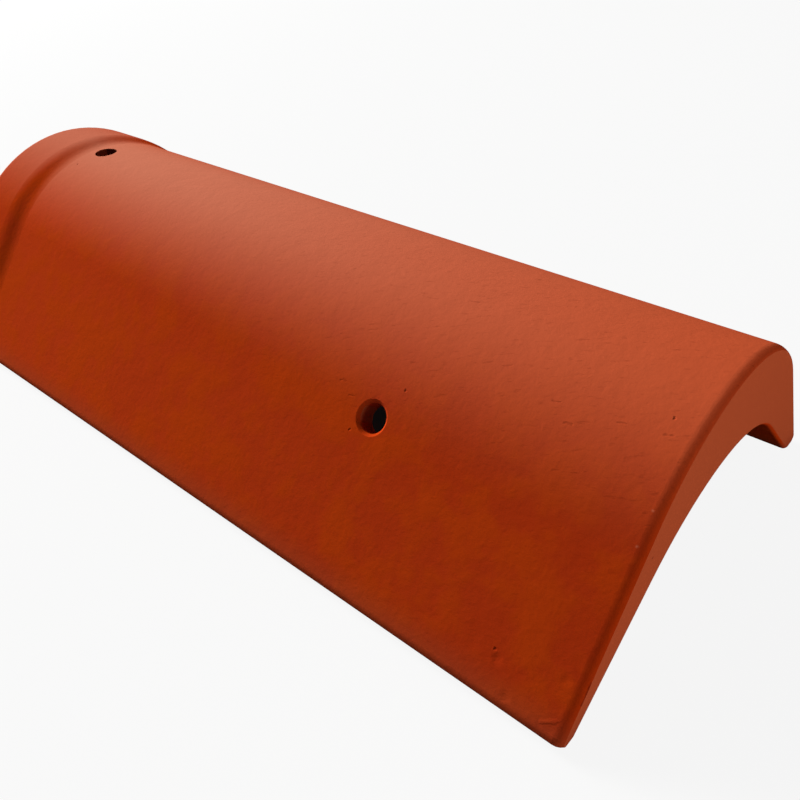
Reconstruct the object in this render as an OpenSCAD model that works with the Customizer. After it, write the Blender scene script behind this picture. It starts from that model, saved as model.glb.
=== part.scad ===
// Clay ridge tile: an arched shell with a raised collar at one end, a thick end face at the other
// and two fixing holes. Length runs along X, with the plain end at +X and the collar at -X.
// The feet stand on Z = 0. All sizes are in millimetres.

/* [Tile] */
// overall length along the ridge
length = 405; // [250:5:500]
// width of the body across the feet
width = 195; // [150:1:250]
// height of the body's crown above the feet
height = 88; // [60:1:110]
// rise of the flanks, for the run below
flank_rise = 4; // [3:0.1:6]
// run of the flanks, for the rise above
flank_run = 3; // [2:0.1:5]
// thickness of the shell
wall = 9; // [8:0.5:16]
// rounding of the outer edge of each foot
foot_round = 3.5; // [2:0.1:5]

/* [Collar] */
// length of the raised collar, measured from the collar end
collar_length = 28; // [15:1:60]
// how far the collar stands above the body
collar_rise = 2; // [0.5:0.1:4]
// length over which the body rises to the collar
collar_run = 16; // [6:0.5:24]
// rounding of the outer edge at the collar end
collar_round = 4; // [1:0.5:6]
// rounding of the inner edge at the collar end
collar_inner_round = 2; // [0.5:0.5:4]

/* [Plain end] */
// rounding of the outer edge at the plain end
end_round = 5; // [3:0.5:8]
// how much of that rounding the flat end face cuts off
end_trim = 1.5; // [0:0.5:2.5]
// thickness of the end flange along the tile
flange_length = 20; // [12:1:40]
// thickness of the end face at the crown
face_depth = 34.408; // [25:0.001:45]
// how much thicker than the shell the end face is at the feet
face_foot_extra = 0.369; // [0.2:0.001:5]
// rise of the straight sides of the mouth, for the run below
mouth_rise = 10.296; // [8:0.001:12]
// run of the straight sides of the mouth, for the rise above
mouth_run = 11.753; // [10:0.001:14]
// rounding of the edge of the mouth
mouth_round = 2; // [0.5:0.5:4]

/* [Fixing holes] */
// diameter of both fixing holes
hole_diameter = 11.5; // [6:0.5:16]
// distance of the crown hole from the collar end
crown_hole_inset = 52.5; // [50:0.5:80]
// distance of the crown hole from the crown line, towards the flank with the hole
crown_hole_offset = 4; // [0:0.5:10]
// distance of the flank hole from the plain end
flank_hole_inset = 106.5; // [40:0.5:200]
// distance of the flank hole down the flank from where the crown ends
flank_hole_drop = 7.5; // [0:0.5:40]
// depth of the chamfer at the rim of the flank hole
flank_hole_chamfer = 1.2; // [0.2:0.1:3]

/* [Hidden] */
$fn = 96;
over = 1;
half_length = length / 2;
flank_angle = atan2(flank_rise, flank_run);
foot_axis_y = width / 2 - foot_round;
crown_radius = (sin(flank_angle) * foot_axis_y + foot_round * (1 + cos(flank_angle))
    - height * cos(flank_angle)) / (1 - cos(flank_angle));
crown_axis_z = height - crown_radius;
crown_end_z = crown_axis_z + crown_radius * cos(flank_angle);
flank_end_z = foot_round * (1 + cos(flank_angle));
flank_length = (crown_end_z - flank_end_z) / sin(flank_angle) + 2 * foot_round;
shell_foot_y = foot_axis_y + (flank_end_z - wall) / sin(flank_angle);
far = 250;
mouth_angle = atan2(mouth_rise, mouth_run);
mouth_height = height - face_depth;
mouth_foot_y = shell_foot_y - face_foot_extra;
mouth_radius = (sin(mouth_angle) * mouth_foot_y - mouth_height * cos(mouth_angle))
    / (1 - cos(mouth_angle));
mouth_axis_z = mouth_height - mouth_radius;
mouth_side_y = mouth_radius * sin(mouth_angle);
mouth_side_z = mouth_axis_z + mouth_radius * cos(mouth_angle);
mouth_side_length = 0.65 * far;
step_start = half_length - collar_length - collar_run;
step_middle = step_start + collar_run / 2;
step_end = half_length - collar_length;
step_radius = (collar_run * collar_run + collar_rise * collar_rise) / (4 * collar_rise);
clay = [0.68, 0.27, 0.13];

// quarter-round corner that is taken off a convex edge; the corner is at the origin
module corner_cut(radius) {
    difference() {
        translate([-radius, -radius])
            square(radius + over);
        translate([-radius, -radius])
            circle(radius);
    }
}

// rise from the body to the collar, an arc up and an arc over
module collar_step() {
    intersection() {
        translate([crown_radius - over, step_middle])
            square([over + collar_rise, collar_run / 2]);
        translate([crown_radius + collar_rise - step_radius, step_end])
            circle(step_radius, $fn = 360);
    }
    difference() {
        translate([crown_radius - over, step_start])
            square([over + collar_rise / 2, collar_run / 2]);
        translate([crown_radius + step_radius, step_start])
            circle(step_radius, $fn = 360);
    }
}

// lengthwise section of the tile, at the crown radius from the crown axis
module long_section(depth) {
    difference() {
        union() {
            translate([crown_radius - depth, -half_length])
                square([depth, length]);
            translate([crown_radius - over, step_end])
                square([over + collar_rise, collar_length]);
            collar_step();
        }
        translate([crown_radius, -half_length - end_trim])
            mirror([0, 1])
                corner_cut(end_round);
        translate([crown_radius + collar_rise, half_length])
            corner_cut(collar_round);
        translate([crown_radius - depth, half_length])
            mirror([1, 0])
                corner_cut(collar_inner_round);
    }
}

// outline across the tile, carried along its whole length
module along_tile() {
    rotate([90, 0, 90])
        linear_extrude(length + 2 * over, center = true)
            children();
}

// wedge above an axis at the given height, as wide as the given angle on both sides
module wedge(axis_z, angle) {
    along_tile()
        polygon([
            [0, axis_z],
            [far * sin(angle), axis_z + far * cos(angle)],
            [0, axis_z + 2 * far],
            [-far * sin(angle), axis_z + far * cos(angle)]
        ]);
}

// flank on one side, in the frame of the crown sweep; side is 1 for +Y and -1 for -Y
module flank(depth, side) {
    rotate([0, 0, side * flank_angle])
        translate([0, side > 0 ? flank_length : 0, 0])
            rotate([90, 0, 0])
                linear_extrude(flank_length)
                    long_section(depth);
}

// lengthwise section carried over the crown and down both flanks
module arch(depth) {
    intersection() {
        translate([0, 0, crown_axis_z])
            rotate([0, -90, 0])
                rotate([0, 0, 180])
                    rotate_extrude()
                        long_section(depth);
        wedge(crown_axis_z, flank_angle);
    }
    translate([0, 0, crown_axis_z])
        rotate([0, -90, 0]) {
            flank(depth, 1);
            flank(depth, -1);
        }
}

// room that the crown and the flanks keep, above the floor and inside the rounded feet
module arch_trim() {
    side_y = foot_axis_y + wall * sin(flank_angle);
    side_z = foot_round + wall * cos(flank_angle);
    along_tile()
        polygon([
            [-foot_axis_y, 0],
            [foot_axis_y, 0],
            [foot_axis_y, foot_round],
            [side_y, side_z],
            [side_y, height + wall],
            [-side_y, height + wall],
            [-side_y, side_z],
            [-foot_axis_y, foot_round]
        ]);
}

// rounded outer edge of the foot on the +Y side
module foot_edge() {
    side_y = foot_axis_y + wall * sin(flank_angle);
    side_z = foot_round + wall * cos(flank_angle);
    intersection() {
        translate([0, foot_axis_y, foot_round])
            rotate([0, -90, 0])
                rotate_extrude()
                    intersection() {
                        translate([foot_round - crown_radius, 0])
                            long_section(wall);
                        translate([0, -length])
                            square([crown_radius, 2 * length]);
                    }
        along_tile()
            polygon([
                [foot_axis_y, foot_round],
                [side_y, side_z],
                [side_y + wall, 0],
                [side_y, -wall],
                [foot_axis_y, -wall]
            ]);
    }
}

// side outline that carries the rounding of both ends under the feet
module heel_trim() {
    rotate([90, 0, 0])
        linear_extrude(2 * width, center = true)
            difference() {
                translate([-half_length, 0])
                    square([length, 2 * height]);
                translate([half_length + end_trim, 0])
                    mirror([0, 1])
                        corner_cut(end_round);
                translate([-half_length, -collar_rise])
                    rotate(180)
                        corner_cut(collar_round);
            }
}

// band at the plain end that is filled to make the end flange
module flange_band() {
    translate([half_length - flange_length, -width, -over])
        cube([flange_length + over, 2 * width, 2 * height]);
}

// mouth through the end flange, an arc with straight sides
module mouth() {
    foot_y = mouth_side_y + mouth_side_length * cos(mouth_angle);
    foot_z = mouth_side_z - mouth_side_length * sin(mouth_angle);
    translate([half_length - 2 * flange_length, 0, 0])
        rotate([90, 0, 90])
            linear_extrude(3 * flange_length) {
                polygon([
                    [-foot_y, foot_z],
                    [foot_y, foot_z],
                    [mouth_side_y, mouth_side_z],
                    [-mouth_side_y, mouth_side_z]
                ]);
                intersection() {
                    translate([0, mouth_axis_z])
                        circle(mouth_radius, $fn = 180);
                    translate([-mouth_side_y, mouth_side_z])
                        square([2 * mouth_side_y, height]);
                }
            }
}

// section of the rounded edge of the mouth, at the mouth radius
module mouth_edge_section() {
    translate([mouth_radius, -half_length])
        rotate(180)
            corner_cut(mouth_round);
}

// straight rounded edge of the mouth, in the frame of the mouth sweep
module mouth_edge_side(side) {
    rotate([0, 0, side * mouth_angle])
        translate([0, side > 0 ? mouth_side_length : 0, 0])
            rotate([90, 0, 0])
                linear_extrude(mouth_side_length)
                    mouth_edge_section();
}

// rounded edge of the mouth, taken off all round the arch
module mouth_edge() {
    intersection() {
        translate([0, 0, mouth_axis_z])
            rotate([0, -90, 0])
                rotate([0, 0, 180])
                    rotate_extrude()
                        mouth_edge_section();
        wedge(mouth_axis_z, mouth_angle);
    }
    translate([0, 0, mouth_axis_z])
        rotate([0, -90, 0]) {
            mouth_edge_side(1);
            mouth_edge_side(-1);
        }
}

// upright fixing hole through the crown behind the collar
module crown_hole() {
    translate([crown_hole_inset - half_length, -crown_hole_offset, height - 2 * wall])
        cylinder(d = hole_diameter, h = 3 * wall);
}

// fixing hole square through the flank on the -Y side, with a chamfered rim
module flank_hole() {
    translate([half_length - flank_hole_inset, 0, crown_axis_z])
        rotate([flank_angle, 0, 0])
            translate([0, -flank_hole_drop, crown_radius]) {
                translate([0, 0, -2 * wall])
                    cylinder(d = hole_diameter, h = 3 * wall);
                translate([0, 0, -flank_hole_chamfer])
                    cylinder(
                        d1 = hole_diameter,
                        d2 = hole_diameter + 4 * flank_hole_chamfer,
                        h = 2 * flank_hole_chamfer
                    );
            }
}

// the whole tile, one piece of fired clay
module ridge_tile() {
    color(clay)
        difference() {
            intersection() {
                union() {
                    intersection() {
                        union() {
                            arch(wall);
                            intersection() {
                                arch(crown_radius - over);
                                flange_band();
                            }
                        }
                        arch_trim();
                    }
                    foot_edge();
                    mirror([0, 1, 0])
                        foot_edge();
                }
                heel_trim();
            }
            mouth();
            mouth_edge();
            crown_hole();
            flank_hole();
        }
}

ridge_tile();
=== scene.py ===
"""A clay ridge tile on a pale studio floor, in metres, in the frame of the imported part."""

import math

import bmesh
import bpy
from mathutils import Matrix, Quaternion, Vector


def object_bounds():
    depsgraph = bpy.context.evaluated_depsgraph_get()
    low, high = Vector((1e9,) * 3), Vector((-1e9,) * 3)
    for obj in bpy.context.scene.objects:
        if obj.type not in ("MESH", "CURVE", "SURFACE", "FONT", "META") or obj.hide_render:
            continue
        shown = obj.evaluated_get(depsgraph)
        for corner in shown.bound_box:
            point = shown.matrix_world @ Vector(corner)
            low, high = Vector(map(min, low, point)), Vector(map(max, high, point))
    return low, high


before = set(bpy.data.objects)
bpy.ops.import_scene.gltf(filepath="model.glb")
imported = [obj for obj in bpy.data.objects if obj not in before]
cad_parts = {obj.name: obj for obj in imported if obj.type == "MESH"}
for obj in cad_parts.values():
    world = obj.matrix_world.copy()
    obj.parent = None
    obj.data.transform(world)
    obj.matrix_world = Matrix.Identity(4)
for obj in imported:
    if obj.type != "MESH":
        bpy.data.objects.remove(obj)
cad_low, cad_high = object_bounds()

MM = 0.001
WHITE = (1.0, 1.0, 1.0, 1.0)
RISING = (0.0, 1.0)
FALLING = (1.0, 0.0)
scene = bpy.context.scene
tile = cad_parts["ridge_tile"]


# Shader helpers


def add(tree, kind, **values):
    """A shader node, with its properties and the values of its input sockets."""
    made = tree.nodes.new(kind)
    for name, value in values.items():
        socket = name.replace("_", " ").title()
        if hasattr(made, name):
            setattr(made, name, value)
        elif socket in made.inputs:
            made.inputs[socket].default_value = value
        else:
            raise KeyError(f"{kind} has no {name}")
    return made


def link(tree, source, target):
    tree.links.new(source, target)


def fill(tree, made, values):
    """Puts a number, a tuple or a socket into each of the first inputs of a node."""
    for socket, value in zip(made.inputs, values):
        if isinstance(value, (int, float, tuple)):
            socket.default_value = value
        else:
            link(tree, value, socket)


def math_of(tree, operation, first, second=0.0, clamp=False):
    """The result socket of a Math node. Each value is a number or a socket."""
    made = add(tree, "ShaderNodeMath", operation=operation, use_clamp=clamp)
    fill(tree, made, (first, second))
    return made.outputs[0]


def product(tree, first, second):
    return math_of(tree, "MULTIPLY", first, second)


def vector_of(tree, operation, first, second):
    """The result socket of a Vector Math node: a number for a product or a distance, else a vector."""
    made = add(tree, "ShaderNodeVectorMath", operation=operation)
    fill(tree, made, (first, second))
    return made.outputs["Value" if operation in ("DOT_PRODUCT", "DISTANCE") else "Vector"]


def scaled(tree, vector, factor):
    """A vector times a number. The number is a socket or a plain value."""
    made = add(tree, "ShaderNodeVectorMath", operation="SCALE")
    link(tree, vector, made.inputs[0])
    if isinstance(factor, float):
        made.inputs["Scale"].default_value = factor
    else:
        link(tree, factor, made.inputs["Scale"])
    return made.outputs[0]


def total(tree, parts, start=0.0):
    """A start value plus several sockets, each times its own number."""
    whole = start
    for socket, share in parts:
        whole = math_of(tree, "ADD", product(tree, socket, share), whole)
    return whole


def largest(tree, masks):
    most, *others = masks
    for mask in others:
        most = math_of(tree, "MAXIMUM", most, mask)
    return most


def spread(tree, value, span, ends=RISING):
    """A value mapped smoothly from a span to two end values, and held at them."""
    made = add(
        tree,
        "ShaderNodeMapRange",
        interpolation_type="SMOOTHSTEP",
        from_min=span[0],
        from_max=span[1],
        to_min=ends[0],
        to_max=ends[1],
    )
    link(tree, value, made.inputs["Value"])
    return made.outputs["Result"]


def blend(tree, factor, first, second, most=1.0):
    """The colour socket of a mix, up to the most. Each colour is a triple or a socket."""
    made = add(tree, "ShaderNodeMix", data_type="RGBA")
    link(tree, product(tree, factor, most), made.inputs["Factor"])
    for name, colour in (("A", first), ("B", second)):
        if isinstance(colour, tuple):
            made.inputs[name].default_value = (*colour, 1.0)
        else:
            link(tree, colour, made.inputs[name])
    return made.outputs["Result"]


def apart(tree, vector):
    """The X, Y and Z sockets of a vector."""
    made = tree.nodes.new("ShaderNodeSeparateXYZ")
    link(tree, vector, made.inputs[0])
    return made.outputs


def new_group(name, inputs, output):
    """A shader node group with its named sockets, and its two end nodes."""
    group = bpy.data.node_groups.new(name, "ShaderNodeTree")
    for socket, kind in inputs:
        group.interface.new_socket(socket, in_out="INPUT", socket_type=kind)
    group.interface.new_socket(output, in_out="OUTPUT", socket_type="NodeSocketFloat")
    return group, group.nodes.new("NodeGroupInput"), group.nodes.new("NodeGroupOutput")


def place_group(tree, group, vector, **values):
    """A group placed in a tree, with the place that it works on and its own values."""
    made = tree.nodes.new("ShaderNodeGroup")
    made.node_tree = group
    link(tree, vector, made.inputs["Vector"])
    for name, value in values.items():
        made.inputs[name.title()].default_value = value
    return made.outputs[0]


# Clay colours, and the most that each one covers of what lies under it

BODY_DEEP = (0.310, 0.024, 0.0035)
BODY_LIGHT = (0.400, 0.037, 0.0060)
BODY_WARM = (0.38, 0.040, 0.0020)
WARM_MOST = 0.5
# Painted light and sheen over the crown, whiter towards the collar end
PAINTED_LIGHT_COLLAR_END = (0.435, 0.130, 0.075)
PAINTED_LIGHT_PLAIN_END = (0.42, 0.067, 0.0225)
COLLAR_RED = (0.22, 0.010, 0.001)
COLLAR_MOST = 0.2
# Painted shade inside the crown hole
BORE_PAINTED_SHADE = (0.03, 0.001, 0.0003)
BORE_MOST = 1.0
# Painted light on the rounded edge at the plain end, which the key lamp leaves dark
END_EDGE_PAINTED_LIGHT = (0.41, 0.030, 0.002)
END_EDGE_MOST = 0.6
END_FACE = (0.33, 0.056, 0.019)
END_FACE_MOST = 1.0
FOOT_EDGE = (0.26, 0.040, 0.014)
FOOT_MOST = 0.8
# Painted shade in the small hollows of the nicks, drag streaks, pinholes and crack
MARK_PAINTED_SHADE = (0.09, 0.006, 0.002)
NICK_MOST = 0.22
PINHOLE_MOST = 0.6
MARK_PALE = (0.55, 0.20, 0.11)
FLECK_MOST = 0.3

# Where these colours lie, along the tile, up from the floor or by the turn of the surface
COLLAR_ZONE = (-172 * MM, -158 * MM)
COLLAR_HALF = (-100 * MM, 0.0)
PAINTED_LIGHT_ZONE = (0.75 * cad_low[0], 1.15 * cad_high[0])
END_ZONE = (cad_high[0] - 12 * MM, cad_high[0] - 6 * MM)
END_EDGE_TURN = (0.1, 0.6)
END_FACE_TURN = (0.8, 0.9)
BORE_TURN = (0.2, 0.6)
FOOT_ZONE = (0.0, 14 * MM)

# Grains per metre, from broad clouds to sand
GRAINS = (("cloud", 9.0), ("blotch", 45.0), ("wave", 130.0), ("grain", 500.0))
GRAIN_DETAIL = 3.0
GRAIN_ROUGHNESS = 0.65
NOISE_MIDDLE = 0.5
WARM_BLOTCHES = (-0.1, 0.12)

# The body is lighter towards the collar, for each metre, and carries painted shade on the collar's
# step, which faces away from the key lamp
SHADE_START = 0.5
SHADE_CLOUD = 0.5
SHADE_GRAIN = 0.3
SHADE_ALONG = -2.4
STEP_PAINTED_SHADE = -2.0

# The painted light and sheen over the crown fades down the sides, towards the collar and on the
# collar's step
CROWN_AXIS = 18 * MM
PAINTED_LIGHT_EDGE = math.radians(60)
PAINTED_LIGHT_FADE = math.radians(52)
PAINTED_LIGHT_INSIDE = 1.0
PAINTED_LIGHT_ALONG = 0.7
PAINTED_LIGHT_STEP = -2.2

# The painted shade inside the crown hole, by its place along and across the tile and its height,
# in millimetres
CROWN_HOLE = (-150, -4, 84)
CROWN_HOLE_REACH = 16.0

# Marks on the flank with the hole, by their place along the tile and their height, in millimetres
PINHOLES = ((-153, 85), (89, 48), (105, 65), (172, 16), (192, 81))
PINHOLE_RADIUS = 0.8
DENTS = ((91, 51), (174, 14), (181, 7), (196, 19))
DENT_RADIUS = 2.4
FLECKS = ((199, 64), (199, 55))
FLECK_RADIUS = 0.7
NICKS = ((77, 60), (83, 57), (156, 76), (163, 73), (178, 77), (192, 78))
NICK_RUN = (2.4, 0.5, 0.25)
NICK_WIDTH = 0.6
CREASE = (194, 7)
CREASE_RUN = (4.3, 1.7, 2.2)
CREASE_WIDTH = 1.0

# Marks on the end face, by their place across the tile and their height, in millimetres
END_PINHOLE = (-55, 49)
CRACK = (-84, 20.5)
CRACK_RUN = (0.0, -4.5, -6.0)
CRACK_WIDTH = 0.6

# Round marks have no run, and all marks have soft and ragged edges
NO_RUN = (0.0, 0.0, 0.0)
LEAST_RUN = 1e-12
MARK_FADE = (0.1, 1.0)
RAGGED_SCALE = 600.0
RAGGED_SWAY = 1.2 * MM

# Short drag marks lie along the crown, towards the plain end
DRAG_TURN = (0.0, math.radians(-11), math.radians(23))
DRAG_SIZE = (4.5 * MM, 1.2 * MM, 1.2 * MM)
DRAG_DETAIL = 2.0
DRAG_LEVELS = (0.58, 0.8)
DRAG_ALONG = (-100 * MM, 100 * MM)
DRAG_UPWARD = (0.55, 0.65)

# Roughness, and the height of each part of the relief in millimetres
ROUGHNESS = 0.75
ROUGHNESS_GRAIN = 0.12
RELIEF = (
    ("blotch", 0.3),
    ("wave", 0.15),
    ("grain", 0.1),
    ("dents", -0.14),
    ("pinholes", -0.3),
    ("nicks", -0.08),
    ("drags", -0.03),
    ("crease", 0.1),
)


def on_flank(along, up):
    """The place on the outer side of the flank with the hole, at a height."""
    outside = Vector((along * MM, cad_low[1], up * MM))
    return tile.ray_cast(outside, Vector((0.0, 1.0, 0.0)))[1]


def on_end(across, up):
    return Vector((cad_high[0], across * MM, up * MM))


def speckle_group():
    """Soft grains of one size: a value that swings around 0."""
    group, given, result = new_group(
        "clay_speckle",
        [("Vector", "NodeSocketVector"), ("Scale", "NodeSocketFloat")],
        "Value",
    )
    noise = add(group, "ShaderNodeTexNoise", detail=GRAIN_DETAIL, roughness=GRAIN_ROUGHNESS)
    link(group, given.outputs["Vector"], noise.inputs["Vector"])
    link(group, given.outputs["Scale"], noise.inputs["Scale"])
    link(group, math_of(group, "SUBTRACT", noise.outputs[0], NOISE_MIDDLE), result.inputs["Value"])
    return group


def line_mark_group():
    """A soft mark along a straight run from a start: 1 along it and 0 from its width on."""
    group, given, result = new_group(
        "line_mark",
        [
            ("Vector", "NodeSocketVector"),
            ("Start", "NodeSocketVector"),
            ("Run", "NodeSocketVector"),
            ("Width", "NodeSocketFloat"),
        ],
        "Mask",
    )
    run = given.outputs["Run"]
    off = vector_of(group, "SUBTRACT", given.outputs["Vector"], given.outputs["Start"])
    along = vector_of(group, "DOT_PRODUCT", off, run)
    whole = math_of(group, "MAXIMUM", vector_of(group, "DOT_PRODUCT", run, run), LEAST_RUN)
    nearest = scaled(group, run, math_of(group, "DIVIDE", along, whole, clamp=True))
    away = vector_of(group, "DISTANCE", off, nearest)
    across = math_of(group, "DIVIDE", away, given.outputs["Width"])
    link(group, spread(group, across, MARK_FADE, FALLING), result.inputs["Mask"])
    return group


def ragged(tree, place):
    """The place, pushed about a little, for marks with ragged edges."""
    noise = add(tree, "ShaderNodeTexNoise", scale=RAGGED_SCALE)
    link(tree, place, noise.inputs["Vector"])
    around = vector_of(tree, "SUBTRACT", noise.outputs["Color"], (NOISE_MIDDLE,) * 3)
    return vector_of(tree, "ADD", place, scaled(tree, around, RAGGED_SWAY))


def clay_marks(tree, place):
    """The mask of each kind of mark and of the painted shade in the crown hole, by name."""
    group = line_mark_group()
    worn = ragged(tree, place)
    pinholes = [on_flank(*spot) for spot in PINHOLES]
    kinds = (
        ("pinholes", [*pinholes, on_end(*END_PINHOLE)], NO_RUN, PINHOLE_RADIUS),
        ("dents", [on_flank(*spot) for spot in DENTS], NO_RUN, DENT_RADIUS),
        ("flecks", [on_flank(*spot) for spot in FLECKS], NO_RUN, FLECK_RADIUS),
        ("nicks", [on_flank(*spot) for spot in NICKS], NICK_RUN, NICK_WIDTH),
        ("crease", [on_flank(*CREASE)], CREASE_RUN, CREASE_WIDTH),
        ("crack", [on_end(*CRACK)], CRACK_RUN, CRACK_WIDTH),
        ("crown_hole", [Vector(CROWN_HOLE) * MM], NO_RUN, CROWN_HOLE_REACH),
    )
    masks = {}
    for name, starts, run, width in kinds:
        masks[name] = largest(tree, [
            place_group(tree, group, worn, start=start, run=Vector(run) * MM, width=width * MM)
            for start in starts
        ])
    return masks


def drag_marks(tree, place, along, upward):
    """Short faint streaks over the crown, from the shaping of the wet clay."""
    streak = add(tree, "ShaderNodeMapping", vector_type="TEXTURE", rotation=DRAG_TURN, scale=DRAG_SIZE)
    link(tree, place, streak.inputs["Vector"])
    noise = add(tree, "ShaderNodeTexNoise", scale=1.0, detail=DRAG_DETAIL)
    link(tree, streak.outputs[0], noise.inputs["Vector"])
    zone = product(tree, spread(tree, along, DRAG_ALONG), spread(tree, upward, DRAG_UPWARD))
    return product(tree, spread(tree, noise.outputs[0], DRAG_LEVELS), zone)


def crown_painted_light_mask(tree, spot, painted_step_shade):
    """The painted light and sheen over the crown, by the angle from the crown's axis, and less on the
    collar's step.
    """
    across = math_of(tree, "ABSOLUTE", spot["Y"])
    angle = math_of(tree, "ARCTAN2", across, math_of(tree, "SUBTRACT", spot["Z"], CROWN_AXIS))
    inside = math_of(tree, "DIVIDE", math_of(tree, "SUBTRACT", PAINTED_LIGHT_EDGE, angle), PAINTED_LIGHT_FADE)
    parts = ((inside, PAINTED_LIGHT_INSIDE), (spot["X"], PAINTED_LIGHT_ALONG), (painted_step_shade, PAINTED_LIGHT_STEP))
    return spread(tree, total(tree, parts), RISING)


def body_colour(tree, spot, side, grains):
    """Red clay in clouds and warm blotches, under painted light and sheen over the crown, with painted
    shade on the collar's step.
    """
    # Painted shade on the collar's step, which faces away from the key lamp
    painted_step_shade = product(tree, side["X"], spread(tree, spot["X"], COLLAR_HALF, FALLING))
    shade = total(tree, (
        (grains["cloud"], SHADE_CLOUD),
        (grains["grain"], SHADE_GRAIN),
        (spot["X"], SHADE_ALONG),
        (painted_step_shade, STEP_PAINTED_SHADE),
    ), SHADE_START)
    red = blend(tree, shade, BODY_DEEP, BODY_LIGHT)
    red = blend(tree, spread(tree, grains["blotch"], WARM_BLOTCHES), red, BODY_WARM, WARM_MOST)
    # Painted light and sheen over the crown
    painted_light = blend(tree, spread(tree, spot["X"], PAINTED_LIGHT_ZONE), PAINTED_LIGHT_COLLAR_END, PAINTED_LIGHT_PLAIN_END)
    return blend(tree, crown_painted_light_mask(tree, spot, painted_step_shade), red, painted_light)


def clay_colour(tree, spot, side, grains, masks):
    """The body's colour, with the colours of its collar, edges, end face and marks over it, painted
    shade in the crown hole and in the marks' hollows, and painted light on the plain end's edge.
    """
    # Painted shade inside the crown hole
    bore_painted_shade = product(tree, masks["crown_hole"], spread(tree, side["Z"], BORE_TURN, FALLING))
    # Painted light on the rounded edge at the plain end
    end_edge_painted_light = product(tree, spread(tree, side["X"], END_EDGE_TURN), spread(tree, spot["X"], END_ZONE))
    layers = (
        (spread(tree, spot["X"], COLLAR_ZONE, FALLING), COLLAR_RED, COLLAR_MOST),
        (bore_painted_shade, BORE_PAINTED_SHADE, BORE_MOST),
        (end_edge_painted_light, END_EDGE_PAINTED_LIGHT, END_EDGE_MOST),
        (spread(tree, side["X"], END_FACE_TURN), END_FACE, END_FACE_MOST),
        (spread(tree, spot["Z"], FOOT_ZONE, FALLING), FOOT_EDGE, FOOT_MOST),
        # Painted shade in the nicks, drag streaks, pinholes and crack
        (largest(tree, (masks["nicks"], masks["drags"])), MARK_PAINTED_SHADE, NICK_MOST),
        (largest(tree, (masks["pinholes"], masks["crack"])), MARK_PAINTED_SHADE, PINHOLE_MOST),
        (masks["flecks"], MARK_PALE, FLECK_MOST),
    )
    colour = body_colour(tree, spot, side, grains)
    for mask, over, most in layers:
        colour = blend(tree, mask, colour, over, most)
    return colour


def clay_material():
    """Matte fired clay, with blotches, sand and small marks in its colour and its surface."""
    material = bpy.data.materials.new("fired_clay")
    material.use_nodes = True
    tree = material.node_tree
    shader = tree.nodes["Principled BSDF"]
    shader.inputs["Specular IOR Level"].default_value = 0.0
    coords = tree.nodes.new("ShaderNodeTexCoord")
    place = coords.outputs["Object"]
    spot = apart(tree, place)
    side = apart(tree, coords.outputs["Normal"])

    speckle = speckle_group()
    grains = {name: place_group(tree, speckle, place, scale=scale) for name, scale in GRAINS}
    masks = clay_marks(tree, place)
    masks["drags"] = drag_marks(tree, place, spot["X"], side["Z"])
    link(tree, clay_colour(tree, spot, side, grains, masks), shader.inputs["Base Color"])
    roughness = total(tree, ((grains["grain"], ROUGHNESS_GRAIN),), ROUGHNESS)
    link(tree, roughness, shader.inputs["Roughness"])

    relief = {**grains, **masks}
    bump = add(tree, "ShaderNodeBump", distance=MM, strength=1.0)
    link(tree, total(tree, [(relief[name], rise) for name, rise in RELIEF]), bump.inputs["Height"])
    link(tree, bump.outputs["Normal"], shader.inputs["Normal"])
    return material


tile.data.materials.clear()
tile.data.materials.append(clay_material())


# Floor, with the range of its fades measured outwards from the tile's outline

FLOOR_RADIUS = 6.0
FLOOR_SIDES = 96
FLOOR_ROUGHNESS = 0.9
FLOOR_PALE = (0.32, 0.32, 0.31)
# Painted shadow under the tile, fading out over the pale range
FLOOR_PAINTED_SHADOW = (0.02, 0.02, 0.02)
FLOOR_PALE_RANGE = (-85 * MM, -50 * MM)
FLOOR_GLOW = 0.9
FLOOR_GLOW_RANGE = (-70 * MM, -15 * MM)


def floor_material():
    """Pale studio floor that the camera sees as nearly white, except under the tile, where its colour
    holds a painted shadow.
    """
    material = bpy.data.materials.new("pale_floor")
    material.use_nodes = True
    tree = material.node_tree
    shader = tree.nodes["Principled BSDF"]
    shader.inputs["Roughness"].default_value = FLOOR_ROUGHNESS
    place = apart(tree, tree.nodes.new("ShaderNodeTexCoord").outputs["Object"])
    past_ends = math_of(tree, "SUBTRACT", math_of(tree, "ABSOLUTE", place["X"]), cad_high[0])
    past_feet = math_of(tree, "SUBTRACT", math_of(tree, "ABSOLUTE", place["Y"]), cad_high[1])
    outside = math_of(tree, "MAXIMUM", past_ends, past_feet)
    # Painted shadow under the tile
    colour = blend(tree, spread(tree, outside, FLOOR_PALE_RANGE), FLOOR_PAINTED_SHADOW, FLOOR_PALE)
    link(tree, colour, shader.inputs["Base Color"])
    path = tree.nodes.new("ShaderNodeLightPath")
    seen = product(tree, path.outputs["Is Camera Ray"], FLOOR_GLOW)
    glow = add(tree, "ShaderNodeEmission", strength=1.0)
    glow.inputs["Color"].default_value = WHITE
    mix = tree.nodes.new("ShaderNodeMixShader")
    link(tree, product(tree, seen, spread(tree, outside, FLOOR_GLOW_RANGE)), mix.inputs[0])
    link(tree, shader.outputs[0], mix.inputs[1])
    link(tree, glow.outputs[0], mix.inputs[2])
    link(tree, mix.outputs[0], tree.nodes["Material Output"].inputs["Surface"])
    return material


def make_floor():
    mesh = bpy.data.meshes.new("floor")
    shape = bmesh.new()
    bmesh.ops.create_circle(shape, cap_ends=True, segments=FLOOR_SIDES, radius=FLOOR_RADIUS)
    shape.to_mesh(mesh)
    shape.free()
    mesh.materials.append(floor_material())
    floor = bpy.data.objects.new("floor", mesh)
    scene.collection.objects.link(floor)
    return floor


make_floor()


# Light

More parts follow.
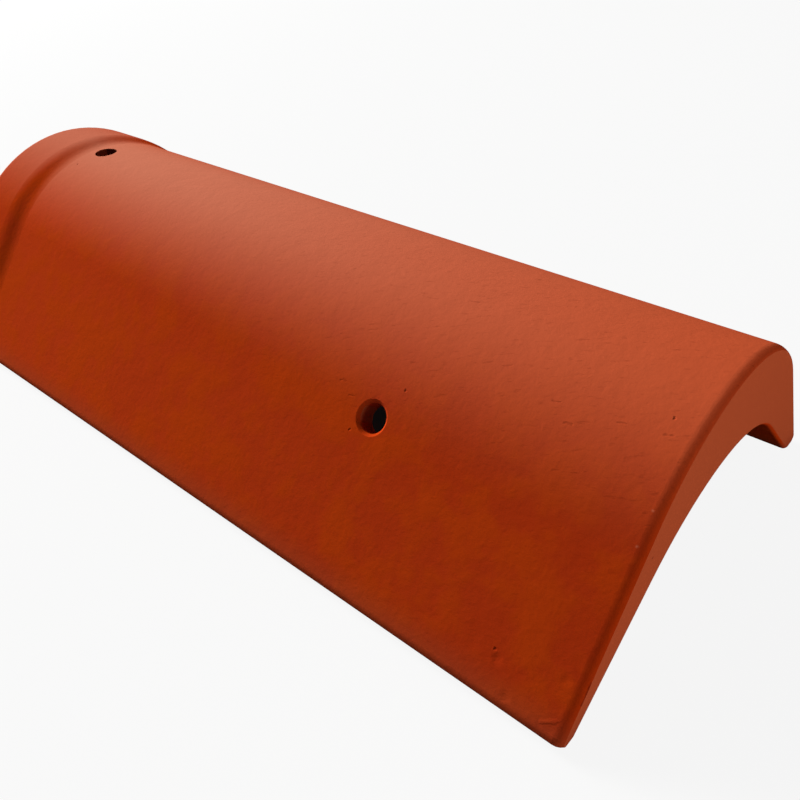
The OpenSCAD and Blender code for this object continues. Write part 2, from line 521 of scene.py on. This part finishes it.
BACKDROP_SIDE = (-0.6, 0.8, 0.0)
BACKDROP_FADE = (-0.3, 0.7)
ROOM_LEVEL = 0.06
BACKDROP_LEVEL = 0.2
SEEN_LEVEL = 1.0
KEY_PLACE = (-3.25, 0.0, 1.78)
KEY_AIM = (0.0, 0.0, 0.05)
KEY_SIZE = (1.4, 1.4)
KEY_POWER = 356.0
END_PLACE = (0.75, -0.06, 0.08)
END_AIM = (0.2, 0.0, 0.05)
END_SIZE = (0.4, 0.1)
END_POWER = 2.45


def light_world():
    """A pale backdrop behind the tile and a darker room in front, seen as white by the camera."""
    world = bpy.data.worlds.new("studio")
    world.use_nodes = True
    scene.world = world
    tree = world.node_tree
    back = tree.nodes["Background"]
    back.inputs["Color"].default_value = WHITE
    ahead = tree.nodes.new("ShaderNodeTexCoord").outputs["Generated"]
    behind = vector_of(tree, "DOT_PRODUCT", ahead, BACKDROP_SIDE)
    level = spread(tree, behind, BACKDROP_FADE, (ROOM_LEVEL, BACKDROP_LEVEL))
    path = tree.nodes.new("ShaderNodeLightPath")
    seen = add(tree, "ShaderNodeMix", data_type="FLOAT")
    link(tree, path.outputs["Is Camera Ray"], seen.inputs["Factor"])
    link(tree, level, seen.inputs["A"])
    seen.inputs["B"].default_value = SEEN_LEVEL
    link(tree, seen.outputs["Result"], back.inputs["Strength"])


def softbox(name, place, aim, size, power):
    lamp = bpy.data.lights.new(name, "AREA")
    lamp.shape = "RECTANGLE"
    lamp.size, lamp.size_y = size
    lamp.energy = power
    box = bpy.data.objects.new(name, lamp)
    box.location = place
    box.rotation_mode = "QUATERNION"
    box.rotation_quaternion = (Vector(aim) - Vector(place)).to_track_quat("-Z", "Y")
    scene.collection.objects.link(box)


light_world()
softbox("key_softbox", KEY_PLACE, KEY_AIM, KEY_SIZE, KEY_POWER)
softbox("end_softbox", END_PLACE, END_AIM, END_SIZE, END_POWER)


# Camera

CAMERA_PLACE = (0.25724, -0.22567, 0.22258)
CAMERA_HEADING = math.radians(131.72)
CAMERA_TILT_DOWN = math.radians(34.96)
CAMERA_ROLL = math.radians(1.64)
CAMERA_LENS = 35.875
CAMERA_SENSOR = 36.0
CAMERA_NEAREST = 10 * MM


def make_camera():
    ahead = Vector((
        math.cos(CAMERA_TILT_DOWN) * math.cos(CAMERA_HEADING),
        math.cos(CAMERA_TILT_DOWN) * math.sin(CAMERA_HEADING),
        -math.sin(CAMERA_TILT_DOWN),
    ))
    lens = bpy.data.cameras.new("camera")
    lens.sensor_width = CAMERA_SENSOR
    lens.lens = CAMERA_LENS
    lens.clip_start = CAMERA_NEAREST
    camera = bpy.data.objects.new("camera", lens)
    camera.location = CAMERA_PLACE
    camera.rotation_mode = "QUATERNION"
    camera.rotation_quaternion = Quaternion(ahead, CAMERA_ROLL) @ ahead.to_track_quat("-Z", "Y")
    scene.collection.objects.link(camera)
    scene.camera = camera


make_camera()
scene.view_settings.view_transform = "Standard"
